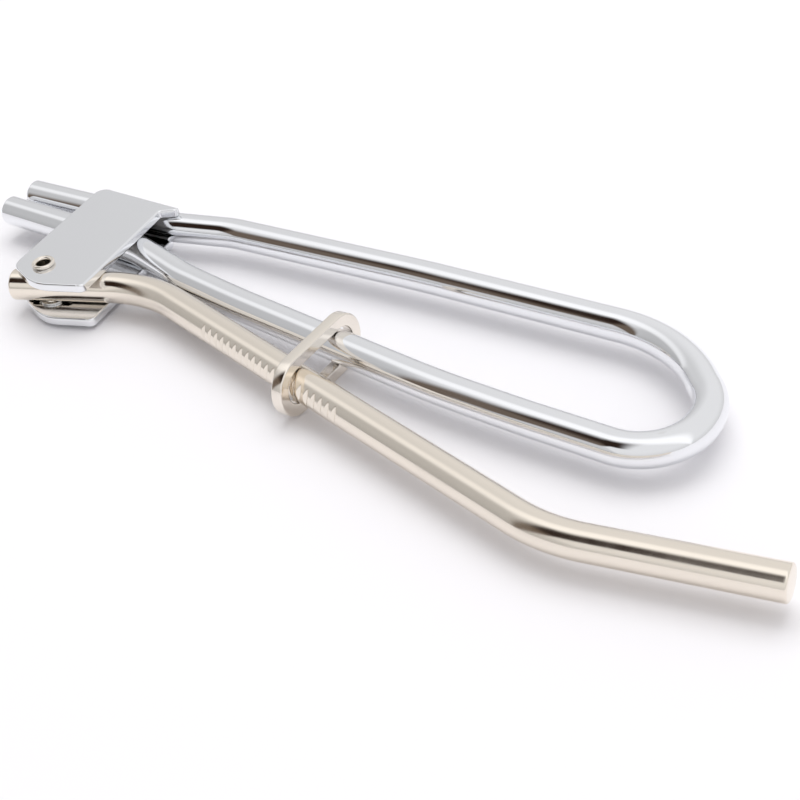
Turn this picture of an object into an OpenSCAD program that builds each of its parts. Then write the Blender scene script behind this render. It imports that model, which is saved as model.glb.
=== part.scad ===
// Ring-locked bent-rod staple remover: a sprung rod loop, a notched lever and a sliding lock ring,
// joined by two plates and a hollow rivet.
// +X runs from the rivet towards the round end of the loop, +Y towards the loop's far leg, +Z up.
// The origin is on the rivet's axis, level with the lowest point of the tool.

/* [Rod] */
// Diameter of the round rod of the loop and the lever
rod_d = 6; // [5.5:0.1:6]
// Chamfer on each cut end of a rod
end_chamfer = 0.4; // [0.1:0.1:1]

/* [Plates] */
// Thickness of a plate
plate_t = 1.7; // [1:0.1:2]
// Rivet axis to the plate's far edge
plate_far = 26.8; // [26.6:0.2:30]
// Rivet axis to the lowest corner of the plate's near end
plate_near = 5.9; // [5.5:0.1:7]
// Rivet axis to that corner, along X
nose_x = 2.7; // [2:0.1:3.5]
// Height of the near end's two side corners above that corner
near_rise = 3.5; // [3:0.1:4]
// Rivet axis to the plate's front edge, at its far end
plate_front = 7.6; // [7:0.1:10]
// How far the front edge leans out towards the near end
front_lean = 5; // [2:0.1:6]
// Rivet axis to the plate's rear edge, at its far end
plate_rear = 10.4; // [9:0.1:12]
// How far the rear edge leans in towards the near end
rear_lean = 4.4; // [0:0.1:5]
// How far the front far corner runs out over the loop's leg
ear_l = 3.2; // [1:0.1:4]
// Width of that ear where it leaves the plate
ear_root = 2.6; // [2.4:0.1:4]
// Width of that ear at its tip
ear_tip = 0.9; // [0.5:0.1:2]
// Corner radii: rear near, middle near, front near, front far, rear far
corner_radii = [3, 9.3, 1.2, 1.6, 2.2]; // [0.5:0.1:10]

/* [Loop] */
// Bend radii of the round end, from the far leg to the near leg
loop_radii = [27, 12.5, 10]; // [8:0.5:27]

/* [Lever] */
// Bend radius of the lever beside the plates
lever_bend_r = 27; // [15:1:30]
// Bend radius of the lever at its grip
grip_bend_r = 30; // [15:1:60]
// Number of locking notches
notch_count = 21; // [8:1:22]
// Distance from one notch to the next
notch_pitch = 1.9; // [1.5:0.05:1.9]
// Depth of a notch
notch_depth = 0.4; // [0.3:0.05:0.8]
// Tilt of the notches, up from the lever's outer side
notch_tilt = 20; // [0:1:30]
// Width of a notch at the rod's surface
notch_w = 1.2; // [0.8:0.1:1.4]
// Lever corner beside the plates to the first notch
notch_start = 21.7; // [20:0.1:22]
// Thickness of the flattened eye around the rivet
eye_t = 5; // [4.6:0.1:5]
// Radius of the eye's flats
eye_r = 4.2; // [4:0.1:5]

/* [Lock ring] */
// Clear length of the ring's slot
slot_l = 19.4; // [18.8:0.1:19.4]
// Clear height of the ring's slot
slot_h = 6.4; // [6.3:0.1:6.6]
// Width of the ring's wall
ring_wall = 2.3; // [1.8:0.1:2.3]
// Thickness of the ring along the rods
ring_t = 2.2; // [1.5:0.1:2.5]
// Rivet axis to the ring's middle, along X
ring_x = 64.4; // [62:0.1:65]
// Rivet axis to the ring's middle, along Y
ring_y = 1.8; // [1.7:0.05:1.9]
// Turn of the ring's plane about the vertical
ring_turn = 3; // [0:0.5:4]

/* [Pivot] */
// Radius of the rivet's hole
rivet_bore_r = 1.35; // [1:0.05:1.4]
// Radius of the rivet's shank
rivet_r = 1.75; // [1.75:0.05:1.8]
// Radius of the rivet's rolled rims
rim_r = 2.3; // [2.2:0.1:3]
// Thickness of a rolled rim
rim_t = 0.8; // [0.5:0.1:1]
// Outer radius of a washer
washer_r = 2.6; // [2.5:0.1:4]
// Thickness of a washer
washer_t = 0.4; // [0.2:0.1:0.4]
// Radial running clearance on the rivet's shank
running_gap = 0.05; // [0.02:0.01:0.1]

/* [Hidden] */
$fn = 48;

rod_r = rod_d / 2;
lower_z = rim_t;                      // underside of the lower plate
rod_z = lower_z + plate_t + rod_r;    // middle of every rod
upper_z = rod_z + rod_r;              // underside of the upper plate
rivet_h = upper_z + plate_t + rim_t;  // overall height of the rivet
bend_thinning = 0.03;                 // loss of rod radius in a bend
bend_lap = 0.25;                      // length of straight that laps over each end of a bend

// Corners of the loop's centreline, from the far tip round to the near tip
loop_points = [[-28.8, 24.6], [8.4, 26.2], [22, 29.5], [66, 32.1], [118, 33.4], [131.9, 19.5],
               [131.9, 3.9], [105, 4.3], [87, 5.1], [39, 10.4], [24, 12.6], [7.8, 17.1], [-29, 17.7]];
// Bend radius at each of those corners
loop_bends = [0, 25, 25, 300, loop_radii[0], loop_radii[1],
              loop_radii[2], 300, 200, 200, 40, 25, 0];
// Corners of the lever's centreline, from its nose through the rivet to the end of its grip
lever_points = [[-7, -2.62], [19.8, 7.35], [123.4, -18.4], [160, -11.5]];
lever_bends = [0, lever_bend_r, grip_bend_r, 0];

// Corners of a head plate, anticlockwise from the rear near one
plate_corners = [[rear_lean - plate_rear, near_rise - plate_near], [nose_x, -plate_near],
                 [plate_front + front_lean, near_rise - plate_near], [plate_front, plate_far],
                 [-plate_rear, plate_far]];

chrome = [0.86, 0.87, 0.89];
nickel = [0.84, 0.80, 0.75];

// Heading from one point to another
function heading(p, q) = atan2(q.y - p.y, q.x - p.x);
// Signed turn, within half a turn either way
function half_turn(a) = a - 360 * floor((a + 180) / 360);
// Turn of a path at an inner corner
function turn_at(path, i) = half_turn(heading(path[i], path[i + 1]) - heading(path[i - 1], path[i]));
// Length of straight that a bend takes up on each side of its corner
function setback(path, bends, i) =
    i == 0 || i == len(path) - 1 ? 0 : bends[i] * tan(abs(turn_at(path, i)) / 2);

// A straight length of rod along +X, chamfered at the ends asked for
module straight_rod(length, start_cut, end_cut) {
    a = start_cut ? end_chamfer : 0;
    b = end_cut ? end_chamfer : 0;
    rotate([0, 90, 0]) rotate_extrude()
        polygon([[0, 0], [rod_r - a, 0], [rod_r, a], [rod_r, length - b], [rod_r - b, length],
                 [0, length]]);
}

// A bend that starts at the origin along +X and turns by the signed angle.
// Drawing thins a bend slightly, so it ends just inside the straights that lap over it.
module rod_bend(turn, bend_r) {
    side = sign(turn);
    first = side > 0 ? -90 : 90 + turn;
    translate([0, side * bend_r, 0])
        rotate([0, 0, first])
            rotate_extrude(angle = abs(turn), $fn = 96)
                translate([bend_r, 0]) circle(r = rod_r - bend_thinning, $fn = 48);
}

// A rod bent along a path of corners in its own plane
module bent_rod(path, bends) {
    last = len(path) - 1;
    for (i = [0 : last - 1]) {
        a = heading(path[i], path[i + 1]);
        from = setback(path, bends, i) - (i == 0 ? 0 : bend_lap);
        to = norm(path[i + 1] - path[i]) - setback(path, bends, i + 1) + (i == last - 1 ? 0 : bend_lap);
        translate([path[i].x, path[i].y, 0]) rotate([0, 0, a]) {
            translate([from, 0, 0]) straight_rod(to - from, i == 0, i == last - 1);
            if (i < last - 1)
                translate([to - bend_lap, 0, 0]) rod_bend(turn_at(path, i + 1), bends[i + 1]);
        }
    }
}

// A convex outline with its own radius at each corner, corners anticlockwise
module rounded_outline(corners, radii) {
    count = len(corners);
    function toward(i, j) = (corners[j] - corners[i]) / norm(corners[j] - corners[i]);
    function before(i) = toward(i, (i + count - 1) % count);
    function after(i) = toward(i, (i + 1) % count);
    function half_corner(i) = acos(before(i) * after(i)) / 2;
    function tangent_length(i) = radii[i] / tan(half_corner(i));
    function start(i) = corners[i] + tangent_length(i) * before(i);
    function finish(i) = corners[i] + tangent_length(i) * after(i);
    function middle(i) = (before(i) + after(i)) / norm(before(i) + after(i));
    function centre(i) = corners[i] + radii[i] / sin(half_corner(i)) * middle(i);
    polygon([for (i = [0 : count - 1]) each [start(i), finish(i)]]);
    for (i = [0 : count - 1]) intersection() {
        translate(centre(i)) circle(r = radii[i], $fn = 96);
        polygon([start(i), corners[i], finish(i), centre(i)]);
    }
}

// The small ear that the upper plate's front far corner runs out into
module corner_ear() {
    lean = front_lean / (plate_far + plate_near - near_rise);
    polygon([[plate_front - ear_root, plate_far], [plate_front - ear_root, plate_far - ear_root],
             [plate_front + lean * ear_root, plate_far - ear_root],
             [plate_front + ear_l, plate_far - ear_tip], [plate_front + ear_l, plate_far]]);
}

// A head plate with its rivet hole, standing on its underside, with or without the ear
module head_plate(with_ear) {
    linear_extrude(plate_t) difference() {
        union() {
            rounded_outline(plate_corners, corner_radii);
            if (with_ear) corner_ear();
        }
        circle(r = rivet_r);
    }
}

// A stadium shape with its long axis along Y
module stadium(length, width) {
    square([width, length - width], center = true);
    for (end = [-1, 1]) translate([0, end * (length - width) / 2]) circle(d = width, $fn = 96);
}

// A thin washer standing on its underside
module washer() {
    linear_extrude(washer_t) difference() {
        circle(r = washer_r);
        circle(r = rivet_r + running_gap);
    }
}

module upper_plate() {
    color(chrome) translate([0, 0, upper_z]) head_plate(true);
}

module lower_plate() {
    color(chrome) translate([0, 0, lower_z]) head_plate(false);
}

// One rod bent into the loop: its two ends run side by side between the plates and out behind them
module loop_handle() {
    color(chrome) translate([0, 0, rod_z]) bent_rod(loop_points, loop_bends);
}

// V-shaped notch across the outer side of the lever, before its tilt
module notch() {
    linear_extrude(rod_d + 2, center = true)
        polygon([[-notch_w, -rod_r - notch_depth], [notch_w, -rod_r - notch_depth],
                 [0, -rod_r + notch_depth]]);
}

// The lever: a nose behind the rivet, a flattened eye, a notched straight and a grip
module lever_arm() {
    nose_angle = heading(lever_points[0], lever_points[1]);
    back_angle = heading(lever_points[1], lever_points[2]);
    color(nickel) translate([0, 0, rod_z]) difference() {
        bent_rod(lever_points, lever_bends);
        cylinder(r = rivet_r + running_gap, h = 2 * rod_d, center = true);
        for (side = [-1, 1])
            translate([0, 0, side * (eye_t + rod_d) / 2])
                cylinder(r = eye_r, h = rod_d, center = true);
        translate([lever_points[1].x, lever_points[1].y, 0]) rotate([0, 0, back_angle])
            for (i = [0 : notch_count - 1])
                translate([notch_start + i * notch_pitch, 0, 0]) rotate([-notch_tilt, 0, 0]) notch();
    }
}

// The lock ring: an upright stadium whose slot holds the near leg and the lever
module lock_ring() {
    color(nickel)
        translate([ring_x, ring_y, rod_z]) rotate([0, 0, ring_turn])
            rotate([90, 0, 90]) rotate([0, 0, 90])
                linear_extrude(ring_t, center = true) difference() {
                    stadium(slot_l + 2 * ring_wall, slot_h + 2 * ring_wall);
                    stadium(slot_l, slot_h);
                }
}

// The hollow rivet: a formed head below, a rolled rim with a flared mouth above
module pivot_rivet() {
    lip = 0.25;             // chamfer on a rim
    mouth = rim_t * 0.75;   // depth of the flared mouth
    top = rivet_h;
    color(nickel) rotate_extrude()
        polygon([[rivet_bore_r, 0], [rim_r - lip, 0], [rim_r, lip], [rim_r, rim_t - lip],
                 [rim_r - lip / 2, rim_t], [rivet_r, rim_t], [rivet_r, top - rim_t],
                 [rim_r - lip / 2, top - rim_t], [rim_r, top - rim_t + lip], [rim_r, top - lip],
                 [rim_r - lip, top], [rivet_bore_r + 2 * lip, top],
                 [rivet_bore_r + lip, top - lip / 2], [rivet_bore_r, top - mouth]]);
}

module upper_washer() {
    color(nickel) translate([0, 0, upper_z - washer_t]) washer();
}

module lower_washer() {
    color(nickel) translate([0, 0, lower_z + plate_t]) washer();
}

upper_plate();
lower_plate();
loop_handle();
lever_arm();
lock_ring();
pivot_rivet();
upper_washer();
lower_washer();
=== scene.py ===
"""Looks of the ring-locked bent-rod staple remover: smooth pieces that ride on the CAD bodies."""
import math
from itertools import pairwise

import bmesh
import bpy
from mathutils import Matrix, Vector


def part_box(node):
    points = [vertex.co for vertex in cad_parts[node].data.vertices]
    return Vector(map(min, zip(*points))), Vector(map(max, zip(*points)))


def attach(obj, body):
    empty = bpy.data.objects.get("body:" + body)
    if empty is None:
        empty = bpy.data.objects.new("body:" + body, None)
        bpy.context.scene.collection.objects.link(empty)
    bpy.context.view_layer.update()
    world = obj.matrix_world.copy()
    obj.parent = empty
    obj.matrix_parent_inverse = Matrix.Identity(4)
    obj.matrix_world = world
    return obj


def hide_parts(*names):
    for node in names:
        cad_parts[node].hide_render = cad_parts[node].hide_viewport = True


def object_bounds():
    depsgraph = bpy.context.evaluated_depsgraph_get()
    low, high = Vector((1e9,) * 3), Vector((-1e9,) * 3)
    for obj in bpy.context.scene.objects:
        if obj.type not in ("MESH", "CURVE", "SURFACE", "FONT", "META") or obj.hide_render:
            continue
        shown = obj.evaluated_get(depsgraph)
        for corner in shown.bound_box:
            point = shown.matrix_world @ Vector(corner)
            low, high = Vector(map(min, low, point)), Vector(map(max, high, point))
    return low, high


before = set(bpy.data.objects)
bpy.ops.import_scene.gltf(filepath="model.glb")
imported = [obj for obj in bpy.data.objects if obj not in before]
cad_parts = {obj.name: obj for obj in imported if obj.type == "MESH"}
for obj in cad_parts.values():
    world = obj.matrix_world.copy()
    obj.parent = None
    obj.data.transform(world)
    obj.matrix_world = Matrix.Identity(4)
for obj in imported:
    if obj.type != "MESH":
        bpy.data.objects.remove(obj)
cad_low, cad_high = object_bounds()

MM = 0.001
# Stands for a place along a rod that lies in a bend or at an end, away from any notch
NOWHERE = 1e9

# ---------------------------------------------------------------- driving dimensions, in millimetres
ROD_D = 6.0
# Corners and bend radii of the loop's centreline, from the far tip round to the near tip
LOOP_CORNERS = [(-28.8, 24.6), (8.4, 26.2), (22, 29.5), (66, 32.1), (118, 33.4), (131.9, 19.5),
                (131.9, 3.9), (105, 4.3), (87, 5.1), (39, 10.4), (24, 12.6), (7.8, 17.1), (-29, 17.7)]
LOOP_BENDS = [0, 25, 25, 300, 27, 12.5, 10, 300, 200, 200, 40, 25, 0]
# Corners and bend radii of the lever's centreline, from its nose to the end of its grip
LEVER_CORNERS = [(-7, -2.62), (19.8, 7.35), (123.4, -18.4), (160, -11.5)]
LEVER_BENDS = [0, 27, 30, 0]
# Notches: how many, from one to the next, first one past the lever's corner, depth, half width and tilt
NOTCHES, NOTCH_PITCH, NOTCH_START, NOTCH_DEPTH, NOTCH_HALF = 21, 1.9, 21.7, 0.4, 0.6
NOTCH_TILT = math.radians(20)
EYE_T, EYE_R = 5.0, 4.2
RING_TURN = 3.0
RIVET_BORE_R, RIVET_R, RIM_R, RIM_T, RUNNING_GAP = 1.35, 1.75, 2.25, 0.8, 0.05

ROD_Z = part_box("upper_plate")[0].z / MM - ROD_D / 2


# ---------------------------------------------------------------- mesh helpers
def finish_mesh(name, bm, body, node, material):
    """Turns a bmesh in millimetres into a piece that rides on its body and stands for its CAD node."""
    bmesh.ops.scale(bm, vec=(MM, MM, MM), verts=bm.verts)
    bmesh.ops.recalc_face_normals(bm, faces=bm.faces)
    mesh = bpy.data.meshes.new(name)
    bm.to_mesh(mesh)
    bm.free()
    mesh.materials.append(material)
    piece = bpy.data.objects.new(name, mesh)
    bpy.context.scene.collection.objects.link(piece)
    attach(piece, body)
    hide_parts(node)
    return piece


def rod_stations(corners, bends, step, fine=None):
    """Points along a bent rod, with arcs at the corners.

    A station is (x, y, heading, distance along the rod, segment, distance past the segment's corner).
    fine = (segment, first, last) is a stretch with close stations, for the notches.
    """
    points = [Vector(c) for c in corners]
    last = len(points) - 1
    headings = [math.atan2((q - p).y, (q - p).x) for p, q in pairwise(points)]
    turns = [0.0] + [math.remainder(b - a, math.tau) for a, b in pairwise(headings)] + [0.0]
    setbacks = [r * math.tan(abs(t) / 2) for r, t in zip(bends, turns)]
    stations = []
    along = 0.0
    for i in range(last):
        h = headings[i]
        direction = Vector((math.cos(h), math.sin(h)))
        length = (points[i + 1] - points[i]).length - setbacks[i] - setbacks[i + 1]
        start = points[i] + direction * setbacks[i]
        low, high = fine[1:] if fine and fine[0] == i else (0, 0)
        distance = 0.0
        while distance < length:
            p = start + direction * distance
            stations.append((p.x, p.y, h, along + distance, i, setbacks[i] + distance))
            near = low <= setbacks[i] + distance <= high
            distance += NOTCH_PITCH / 24 if near else step
        along += length
        if i < last - 1:
            turn, radius = turns[i + 1], bends[i + 1]
            side = math.copysign(1, turn)
            pivot = start + direction * length + Vector((-direction.y, direction.x)) * side * radius
            count = max(2, math.ceil(abs(turn) * max(radius, 6) / step))
            for k in range(count):
                a = h + turn * k / count
                stations.append((pivot.x + side * radius * math.sin(a), pivot.y - side * radius * math.cos(a),
                                 a, along + abs(turn) * radius * k / count, i, NOWHERE))
            along += abs(turn) * radius
    end = points[-1]
    stations.append((end.x, end.y, headings[-1], along, last - 1, NOWHERE))
    return stations


def sweep(stations, around=96, end_round=0.42, trim=None):
    """A round rod along the stations, with rounded end edges and slightly domed end faces."""
    radius = ROD_D / 2
    dome = 0.045
    bm = bmesh.new()
    sections = []

    def section(x, y, h, r, segment=None, distance=None):
        row = []
        for k in range(around):
            a = math.tau * k / around
            side, up = r * math.cos(a), r * math.sin(a)
            if trim and segment is not None:
                side, up = trim(side, up, segment, distance)
            row.append(bm.verts.new((x - side * math.sin(h), y + side * math.cos(h), ROD_Z + up)))
        sections.append(row)

    def rounded_end(station, sign):
        x, y, h = station[:3]
        steps = 8
        rows = []
        for k in range(steps + 1):
            a = math.pi / 2 * k / steps
            inset = end_round * (1 - math.cos(a))
            back = end_round * (1 - math.sin(a))
            rows.append((inset, back))
        rows += [(radius * 0.5, -dome * 2 / 3), (radius * 0.9, -dome)]
        for inset, back in rows if sign > 0 else reversed(rows):
            d = -sign * back
            section(x + d * math.cos(h), y + d * math.sin(h), h, radius - inset)

    rounded_end(stations[0], -1)
    inner = [s for s in stations if end_round < s[3] < stations[-1][3] - end_round]
    for x, y, h, _, segment, distance in inner:
        section(x, y, h, radius, segment, distance)
    rounded_end(stations[-1], 1)
    for a, b in pairwise(sections):
        for k in range(around):
            n = (k + 1) % around
            face = bm.faces.new((a[k], a[n], b[n], b[k]))
            face.smooth = True
    for row, flip in ((sections[0], True), (sections[-1], False)):
        face = bm.faces.new(reversed(row) if flip else row)
        face.smooth = True
    return bm


def rim_loops(bm, axis, level):
    """Closed loops of points round the flat face of a mesh that lies at this level along the axis."""
    edges = []
    for e in bm.edges:
        if all(abs(v.co[axis] - level) < 1e-3 for v in e.verts) and len(e.link_faces) == 2:
            flat = [abs(f.normal[axis]) > 0.99 for f in e.link_faces]
            if flat[0] != flat[1]:
                edges.append(e)
    loops = []
    left = set(edges)
    while left:
        edge = left.pop()
        start, here = edge.verts
        loop = [start, here]
        while here != start:
            edge = next(e for e in here.link_edges if e in left)
            left.remove(edge)
            here = edge.other_vert(here)
            loop.append(here)
        loops.append([v.co.copy() for v in loop[:-1]])
    return sorted(loops, key=len_of, reverse=True)


def len_of(loop):
    """Length of a closed loop of points."""
    return sum((a - b).length for a, b in zip(loop, loop[1:] + loop[:1]))


def cad_mesh(node, turn=None):
    """A CAD node's mesh in millimetres, with its split corners joined, turned into its own frame if asked."""
    bm = bmesh.new()
    bm.from_mesh(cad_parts[node].data)
    bmesh.ops.scale(bm, vec=(1 / MM,) * 3, verts=bm.verts)
    if turn:
        bmesh.ops.transform(bm, matrix=turn, verts=bm.verts)
    bmesh.ops.remove_doubles(bm, verts=bm.verts, dist=1e-3)
    bm.normal_update()
    return bm


def area_sign(loop):
    """1 for an outline that runs anticlockwise, -1 for a clockwise one."""
    return math.copysign(1, sum(p[0] * q[1] - q[0] * p[1] for p, q in zip(loop, loop[1:] + loop[:1])))


def even_loop(loop, step):
    """The same closed outline with extra points, so that no stretch is longer than the step."""
    out = []
    for p, q in zip(loop, loop[1:] + loop[:1]):
        count = max(1, math.ceil(math.dist(p, q) / step))
        out += [(p[0] + (q[0] - p[0]) * k / count, p[1] + (q[1] - p[1]) * k / count) for k in range(count)]
    return out


def inset_loop(loop, amount):
    """A closed outline moved inwards; a negative amount moves it outwards."""
    sign = area_sign(loop)
    out = []
    for i, p in enumerate(loop):
        before, after = Vector(loop[i - 1]), Vector(loop[(i + 1) % len(loop)])
        a = (Vector(p) - before).normalized()
        b = (after - Vector(p)).normalized()
        normal = Vector((-(a + b).y, (a + b).x)).normalized()
        stretch = 1 / max(0.5, normal.dot(Vector((-a.y, a.x))))
        out.append(tuple(Vector(p) + normal * amount * sign * stretch))
    return out


def slab(outer, holes, low, high, rounds):
    """A flat plate between two levels. rounds = (radius of its top edges, radius of its bottom edges)."""
    bm = bmesh.new()
    top_edges, bottom_edges = [], []
    for loop, outward in [(outer, 1)] + [(h, -1) for h in holes]:
        steps = 5
        sections = []
        for k in range(steps + 1):
            a = math.pi / 2 * k / steps
            sections.append((rounds[0] * (1 - math.sin(a)), high - rounds[0] * (1 - math.cos(a))))
        for k in range(steps + 1):
            a = math.pi / 2 * (1 - k / steps)
            sections.append((rounds[1] * (1 - math.sin(a)), low + rounds[1] * (1 - math.cos(a))))
        rows = []
        for inset, z in sections:
            moved = inset_loop(loop, inset * outward)
            rows.append([bm.verts.new((x, y, z)) for x, y in moved])
        for a, b in pairwise(rows):
            for k in range(len(a)):
                n = (k + 1) % len(a)
                bm.faces.new((a[k], a[n], b[n], b[k])).smooth = True
        for row, edges in ((rows[0], top_edges), (rows[-1], bottom_edges)):
            for k in range(len(row)):
                edges.append(bm.edges.get((row[k], row[(k + 1) % len(row)])))
    for edges in (top_edges, bottom_edges):
        made = bmesh.ops.triangle_fill(bm, use_beauty=True, edges=edges)
        for f in made["geom"]:
            if isinstance(f, bmesh.types.BMFace):
                f.smooth = False
    return bm


def lathe(profile, around=96):
    """A closed profile of (radius, z) points turned about the Z axis through the origin."""
    bm = bmesh.new()
    angles = [math.tau * k / around for k in range(around)]
    rows = []
    for r, z in profile:
        rows.append([bm.verts.new((r * math.cos(a), r * math.sin(a), z)) for a in angles])
    for a, b in zip(rows, rows[1:] + rows[:1]):
        for k in range(around):
            n = (k + 1) % around
            bm.faces.new((a[k], a[n], b[n], b[k])).smooth = True
    return bm


def arc(cx, cz, r, first, last, count):
    """Points on an arc about (cx, cz), from the first angle to the last, in degrees."""
    return [(cx + r * math.cos(math.radians(first + (last - first) * k / count)),
             cz + r * math.sin(math.radians(first + (last - first) * k / count))) for k in range(count + 1)]


# ---------------------------------------------------------------- materials
def node(tree, kind, **inputs):
    """A new shader node with its inputs set."""
    n = tree.nodes.new(kind)
    for key, value in inputs.items():
        n.inputs[key.replace("_", " ")].default_value = value
    return n


def plated_metal(name, colour, rough, grain, stretch, edge_colour, edge_rough, metal=1.0):
    """Bright plating: smudged roughness, fine drawn lines along the work, small pits, worn edges."""
    material = bpy.data.materials.new(name)
    material.use_nodes = True
    tree = material.node_tree
    link = tree.links.new
    shader = tree.nodes["Principled BSDF"]
    shader.inputs["Metallic"].default_value = metal
    place = node(tree, "ShaderNodeTexCoord")

    smudge = node(tree, "ShaderNodeTexNoise", Scale=90.0, Detail=4.0, Roughness=0.6)
    link(place.outputs["Object"], smudge.inputs["Vector"])
    spread = node(tree, "ShaderNodeMapRange")
    spread.inputs["From Min"].default_value = 0.35
    spread.inputs["From Max"].default_value = 0.7
    spread.inputs["To Min"].default_value = rough * 0.6
    spread.inputs["To Max"].default_value = rough * 1.7
    link(smudge.outputs["Fac"], spread.inputs["Value"])

    stretched = node(tree, "ShaderNodeMapping")
    stretched.inputs["Scale"].default_value = stretch
    link(place.outputs["Object"], stretched.inputs["Vector"])
    lines = node(tree, "ShaderNodeTexNoise", Scale=1.0, Detail=3.0, Roughness=0.55)
    link(stretched.outputs["Vector"], lines.inputs["Vector"])
    pits = node(tree, "ShaderNodeTexNoise", Scale=1400.0, Detail=2.0)
    link(place.outputs["Object"], pits.inputs["Vector"])
    both = node(tree, "ShaderNodeMath")
    both.operation = "MULTIPLY_ADD"
    both.inputs[1].default_value = 0.35
    link(pits.outputs["Fac"], both.inputs[0])
    link(lines.outputs["Fac"], both.inputs[2])
    bump = node(tree, "ShaderNodeBump", Strength=grain, Distance=0.00002)
    link(both.outputs["Value"], bump.inputs["Height"])
    link(bump.outputs["Normal"], shader.inputs["Normal"])

    shape = node(tree, "ShaderNodeNewGeometry")
    worn = node(tree, "ShaderNodeMapRange")
    worn.inputs["From Min"].default_value = 0.53
    worn.inputs["From Max"].default_value = 0.62
    link(shape.outputs["Pointiness"], worn.inputs["Value"])
    broken = node(tree, "ShaderNodeMath")
    broken.operation = "MULTIPLY"
    link(worn.outputs["Result"], broken.inputs[0])
    link(smudge.outputs["Fac"], broken.inputs[1])

    tint = node(tree, "ShaderNodeMix")
    tint.data_type = "RGBA"
    link(smudge.outputs["Fac"], tint.inputs["Factor"])
    tint.inputs["A"].default_value = (*colour, 1)
    tint.inputs["B"].default_value = (*[c * 0.97 for c in colour], 1)
    base = node(tree, "ShaderNodeMix")
    base.data_type = "RGBA"
    link(broken.outputs["Value"], base.inputs["Factor"])
    link(tint.outputs["Result"], base.inputs["A"])
    base.inputs["B"].default_value = (*edge_colour, 1)
    link(base.outputs["Result"], shader.inputs["Base Color"])
    rougher = node(tree, "ShaderNodeMix")
    rougher.data_type = "FLOAT"
    link(broken.outputs["Value"], rougher.inputs["Factor"])
    link(spread.outputs["Result"], rougher.inputs["A"])
    rougher.inputs["B"].default_value = edge_rough
    link(rougher.outputs["Result"], shader.inputs["Roughness"])
    return material


chrome = plated_metal("chrome_plate", (0.88, 0.89, 0.91), 0.07, 0.10, (60, 1800, 1800),
                      (0.80, 0.80, 0.81), 0.2)
nickel = plated_metal("nickel_plate", (0.88, 0.81, 0.715), 0.13, 0.16, (60, 1500, 1500),
                      (0.78, 0.73, 0.67), 0.26)
nickel_turned = plated_metal("nickel_stamped", (0.88, 0.82, 0.74), 0.16, 0.18, (900, 900, 900),
                             (0.80, 0.75, 0.69), 0.26)
plate_chrome = plated_metal("chrome_stamped", (0.86, 0.87, 0.89), 0.10, 0.10, (900, 120, 900),
                            (0.90, 0.91, 0.93), 0.2)
washer_steel = plated_metal("washer_steel", (0.68, 0.67, 0.65), 0.25, 0.3, (1200, 1200, 300),
                            (0.6, 0.59, 0.57), 0.35)
# The face of the upper plate that lies on the rods is dull: a lighter, rougher, less metallic finish than its
# top, painted light so that the rods between the plates reflect no black shade there
plate_inside_painted_light = plated_metal("chrome_inside_painted_light", (0.62, 0.60, 0.58), 0.4, 0.3, (900, 120, 900),
                            (0.66, 0.64, 0.62), 0.45, metal=0.25)


# ---------------------------------------------------------------- the pieces
def loop_handle():
    """The chromed rod, bent into the loop."""
    stations = rod_stations(LOOP_CORNERS, LOOP_BENDS, 0.6)
    return finish_mesh("loop_handle_rod", sweep(stations), "head", "loop_handle", chrome)


def notch_depth_at(distance):
    """Depth of the notch cut at this distance past the lever's corner, with slightly broken edges."""
    place = (distance - NOTCH_START) / NOTCH_PITCH
    nearest = round(place)
    if not 0 <= nearest < NOTCHES:
        return 0.0
    return max(0.0, NOTCH_DEPTH * (1 - abs(place - nearest) * NOTCH_PITCH / NOTCH_HALF))


def lever_trim(side, up, segment, distance):
    """Cuts the notches into the near side of the lever's middle straight."""
    if segment != 1:
        return side, up
    out, rise = -math.cos(NOTCH_TILT), math.sin(NOTCH_TILT)
    extra = max(0.0, side * out + up * rise - ROD_D / 2 + notch_depth_at(distance))
    return side - extra * out, up - extra * rise


def lever_arm():
    """The nickelled rod with its notches, the flats of its eye and the rivet's hole."""
    last = NOTCH_START + (NOTCHES - 1) * NOTCH_PITCH
    fine = (1, NOTCH_START - 1, last + 1)
    stations = rod_stations(LEVER_CORNERS, LEVER_BENDS, 0.5, fine)
    bm = sweep(stations, around=128, trim=lever_trim)
    piece = finish_mesh("lever_arm_rod", bm, "lever", "lever_arm", nickel)
    for sign in (-1, 1):
        cut_with_cylinder(piece, EYE_R, ROD_Z + sign * (EYE_T + ROD_D) / 2, ROD_D)
    cut_with_cylinder(piece, RIVET_R + RUNNING_GAP, ROD_Z, 2 * ROD_D)
    piece.data.set_sharp_from_angle(angle=math.radians(24))
    return piece


def cut_with_cylinder(piece, radius, middle, height):
    """Takes an upright cylinder on the rivet's axis out of a piece, in millimetres."""
    bm = bmesh.new()
    bmesh.ops.create_cone(bm, cap_ends=True, segments=96, radius1=radius * MM, radius2=radius * MM,
                          depth=height * MM)
    mesh = bpy.data.meshes.new("cutter")
    bm.to_mesh(mesh)
    bm.free()
    cutter = bpy.data.objects.new("cutter", mesh)
    cutter.location = (0, 0, middle * MM)
    bpy.context.scene.collection.objects.link(cutter)
    bpy.context.view_layer.update()
    cut = piece.modifiers.new("cut", "BOOLEAN")
    cut.operation = "DIFFERENCE"
    cut.solver = "EXACT"
    cut.object = cutter
    with bpy.context.temp_override(object=piece, active_object=piece, selected_objects=[piece]):
        bpy.ops.object.modifier_apply(modifier=cut.name)
    bpy.data.objects.remove(cutter)
    bpy.data.meshes.remove(mesh)


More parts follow.
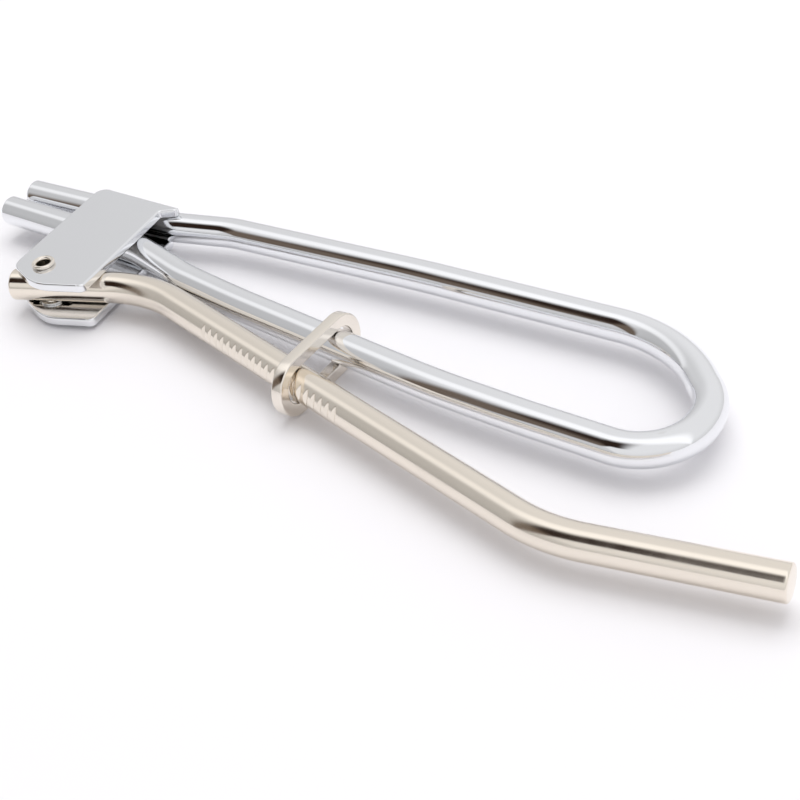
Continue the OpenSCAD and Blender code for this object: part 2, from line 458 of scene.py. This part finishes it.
def head_plate(which):
    """A stamped plate with the CAD plate's outline and rounded edges."""
    bm = cad_mesh(which)
    low, high = (corner.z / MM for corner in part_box(which))
    loops = [[(p.x, p.y) for p in loop] for loop in rim_loops(bm, 2, high)]
    bm.free()
    outer = even_loop(loops[0], 0.5)
    hole = [(RIVET_R * math.cos(a), RIVET_R * math.sin(a)) for a in (math.tau * k / 64 for k in range(64))]
    made = slab(outer, [hole], low, high, (0.38, 0.32) if which == "upper_plate" else (0.32, 0.3))
    piece = finish_mesh(which + "_stamping", made, "head", which, plate_chrome)
    if which == "upper_plate":
        # The underside gets the lighter, duller finish: painted light for the rods' reflections between the
        # plates
        piece.data.materials.append(plate_inside_painted_light)
        for face in piece.data.polygons:
            face.material_index = 1 if face.normal.z < -0.99 else 0
    return piece


def lock_ring():
    """The stamped ring, made flat from the CAD ring's outline and then stood up."""
    low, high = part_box("lock_ring")
    middle = (low + high) / 2 / MM
    turn = Matrix.Rotation(math.radians(RING_TURN), 4, "Z")
    upright = Matrix(((0, 0, 1, 0), (1, 0, 0, 0), (0, 1, 0, 0), (0, 0, 0, 1)))
    to_ring = (Matrix.Translation(middle) @ turn @ upright).inverted()
    bm = cad_mesh("lock_ring", to_ring)
    high_z = max(v.co.z for v in bm.verts)
    loops = [[(p.x, p.y) for p in loop] for loop in rim_loops(bm, 2, high_z)]
    bm.free()
    outer, slot = (even_loop(loop, 0.5) for loop in loops[:2])
    made = slab(outer, [slot], -high_z, high_z, (0.3, 0.3))
    bmesh.ops.transform(made, matrix=to_ring.inverted(), verts=made.verts)
    return finish_mesh("lock_ring_stamping", made, "ring", "lock_ring", nickel_turned)


def pivot_rivet():
    """The hollow rivet: a formed head below and a rolled rim above."""
    low, high = (corner.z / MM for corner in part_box("pivot_rivet"))
    roll, lip, lead_in, mouth = RIM_T / 2, 0.25, 0.12, 0.5
    profile = [(RIVET_BORE_R, low + lead_in), (RIVET_BORE_R + lead_in, low), (RIM_R - lip, low)]
    profile += arc(RIM_R - lip, low + lip, lip, -90, 0, 6)[1:]
    profile += [(RIM_R, low + RIM_T - 0.15), (RIM_R - 0.1, low + RIM_T), (RIVET_R, low + RIM_T),
                (RIVET_R, high - RIM_T), (RIM_R - roll * 0.55, high - RIM_T)]
    profile += arc(RIM_R - roll, high - roll, roll, -60, 90, 14)
    profile += arc(RIVET_BORE_R + mouth, high - mouth - 0.05, mouth, 90, 180, 10)
    return finish_mesh("pivot_rivet_eyelet", lathe(profile), "head", "pivot_rivet", nickel_turned)


def washer(which):
    """A thin ring of steel on the rivet's shank."""
    low, high = (corner.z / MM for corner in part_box(which))
    outer_r = (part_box(which)[1].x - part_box(which)[0].x) / 2 / MM
    circle = [(math.cos(math.tau * k / 96), math.sin(math.tau * k / 96)) for k in range(96)]
    outer = [(outer_r * x, outer_r * y) for x, y in circle]
    hole_r = RIVET_R + RUNNING_GAP
    hole = [(hole_r * x, hole_r * y) for x, y in circle]
    made = slab(outer, [hole], low, high, (0.08, 0.08))
    return finish_mesh(which + "_ring", made, "head", which, washer_steel)


loop_handle()
lever_arm()
for plate_name in ("upper_plate", "lower_plate"):
    head_plate(plate_name)
lock_ring()
pivot_rivet()
for washer_name in ("upper_washer", "lower_washer"):
    washer(washer_name)


# ---------------------------------------------------------------- floor
def floor():
    """A plain pale disc just below the tool."""
    material = bpy.data.materials.new("white_floor")
    material.use_nodes = True
    shader = material.node_tree.nodes["Principled BSDF"]
    shader.inputs["Base Color"].default_value = (0.925, 0.915, 0.94, 1)
    shader.inputs["Roughness"].default_value = 0.45
    bm = bmesh.new()
    bmesh.ops.create_circle(bm, cap_ends=True, segments=96, radius=6)
    mesh = bpy.data.meshes.new("floor")
    bm.to_mesh(mesh)
    bm.free()
    mesh.materials.append(material)
    piece = bpy.data.objects.new("floor", mesh)
    piece.location = (0, 0, cad_low.z - 0.02 * MM)
    bpy.context.scene.collection.objects.link(piece)


floor()


# ---------------------------------------------------------------- light
def studio_world():
    """A white light tent with one dark gap between its panels, on the lever's side and the rivet's."""
    world = bpy.data.worlds.new("tent")
    bpy.context.scene.world = world
    world.use_nodes = True
    tree = world.node_tree
    link = tree.links.new
    background = tree.nodes["Background"]
    place = node(tree, "ShaderNodeTexCoord")
    split = node(tree, "ShaderNodeSeparateXYZ")
    link(place.outputs["Generated"], split.inputs["Vector"])

    def math_node(operation, a, b=0.0):
        n = node(tree, "ShaderNodeMath")
        n.operation = operation
        for i, value in enumerate((a, b)):
            if isinstance(value, (int, float)):
                n.inputs[i].default_value = value
            else:
                link(value, n.inputs[i])
        return n.outputs["Value"]

    def ramp(value, low, high, first=0.0, last=1.0):
        n = node(tree, "ShaderNodeMapRange")
        n.interpolation_type = "SMOOTHSTEP"
        link(value, n.inputs["Value"])
        for key, x in (("From Min", low), ("From Max", high), ("To Min", first), ("To Max", last)):
            n.inputs[key].default_value = x
        return n.outputs["Result"]

    height = math_node("MAXIMUM", split.outputs["Z"], 0.08)
    u = math_node("DIVIDE", split.outputs["X"], height)
    v = math_node("DIVIDE", split.outputs["Y"], height)
    # The gap between two panels, laid on a flat ceiling one unit up. Its edges turn at one place along X;
    # it is soft above, sharper below and closed on the right.
    turn_u, upper_v, lower_v = -0.5, -0.25, -1.28
    upper_slope, lower_slope = 1.1, 1.2
    past_turn = math_node("MINIMUM", math_node("SUBTRACT", u, turn_u), 0.0)
    upper_edge = math_node("ADD", math_node("MULTIPLY", past_turn, upper_slope), upper_v)
    lower_edge = math_node("ADD", math_node("MULTIPLY", past_turn, lower_slope), lower_v)
    above = math_node("SUBTRACT", v, upper_edge)
    below = math_node("SUBTRACT", v, lower_edge)
    gap = math_node("MULTIPLY", ramp(above, -0.25, 0.12, 1.0, 0.0), ramp(below, -0.15, 0.15))
    gap = math_node("MULTIPLY", gap, ramp(u, -0.25, 0.22, 1.0, 0.0))
    # A bright strip runs beside the gap; the walls are greyer low down and on the rivet's side
    plain_wall, strip_extra, low_loss = 0.86, 0.3, 0.22
    strip = ramp(math_node("ABSOLUTE", v), 0.08, 0.45, strip_extra, 0.0)
    low = math_node("MULTIPLY", ramp(u, -1.1, -0.7, 1.0, 0.0), ramp(v, -0.45, 0.05, 1.0, 0.0))
    level = ramp(split.outputs["Z"], 0.0, 0.4, 0.86, 1.0)
    side = ramp(split.outputs["X"], -0.85, -0.35, 0.8, 1.0)
    wall = math_node("MULTIPLY", math_node("MULTIPLY", math_node("ADD", strip, plain_wall), level), side)
    wall = math_node("MULTIPLY", wall, math_node("SUBTRACT", 1.0, math_node("MULTIPLY", low, low_loss)))
    mix = node(tree, "ShaderNodeMix")
    mix.data_type = "RGBA"
    link(gap, mix.inputs["Factor"])
    depth = node(tree, "ShaderNodeMix")
    depth.data_type = "RGBA"
    link(ramp(u, -0.98, -0.62), depth.inputs["Factor"])
    depth.inputs["A"].default_value = (0.15, 0.115, 0.09, 1)
    depth.inputs["B"].default_value = (0.025, 0.014, 0.01, 1)
    link(depth.outputs["Result"], mix.inputs["B"])
    tone = node(tree, "ShaderNodeCombineColor")
    for channel, share in (("Red", 1.0), ("Green", 0.995), ("Blue", 1.0)):
        link(math_node("MULTIPLY", wall, share), tone.inputs[channel])
    link(tone.outputs["Color"], mix.inputs["A"])
    link(mix.outputs["Result"], background.inputs["Color"])
    background.inputs["Strength"].default_value = 1.0


def overhead_light(name, location, size, power):
    """A soft lamp that points at the tool and doesn't show in its reflections."""
    data = bpy.data.lights.new(name, "AREA")
    data.shape = "RECTANGLE"
    data.size, data.size_y = size
    data.energy = power
    lamp = bpy.data.objects.new(name, data)
    lamp.location = location
    middle = (cad_low + cad_high) / 2
    lamp.rotation_euler = (middle - Vector(location)).to_track_quat("-Z", "Y").to_euler()
    lamp.visible_glossy = False
    bpy.context.scene.collection.objects.link(lamp)


studio_world()
overhead_light("key", (0.0, 0.27, 0.75), (0.7, 0.6), 2.6)


# ---------------------------------------------------------------- camera
def camera():
    """Looks at the loop's middle from its round end and the lever's side, from above."""
    target = Vector((84.0, -0.6, ROD_Z)) * MM
    heading, height, roll, distance = math.radians(131.92), math.radians(36.15), math.radians(-10.09), 0.2964
    forward = Vector((math.cos(height) * math.cos(heading), math.cos(height) * math.sin(heading),
                      -math.sin(height)))
    right = forward.cross(Vector((0, 0, 1))).normalized()
    up = right.cross(forward)
    right, up = (math.cos(roll) * right + math.sin(roll) * up, math.cos(roll) * up - math.sin(roll) * right)
    data = bpy.data.cameras.new("camera")
    data.lens = 80.4
    data.clip_start, data.clip_end = 0.01, 20
    cam = bpy.data.objects.new("camera", data)
    place = Matrix((right, up, -forward)).transposed().to_4x4()
    place.translation = target - forward * distance
    cam.matrix_world = place
    bpy.context.scene.collection.objects.link(cam)
    bpy.context.scene.camera = cam


camera()
bpy.context.scene.view_settings.view_transform = "Standard"
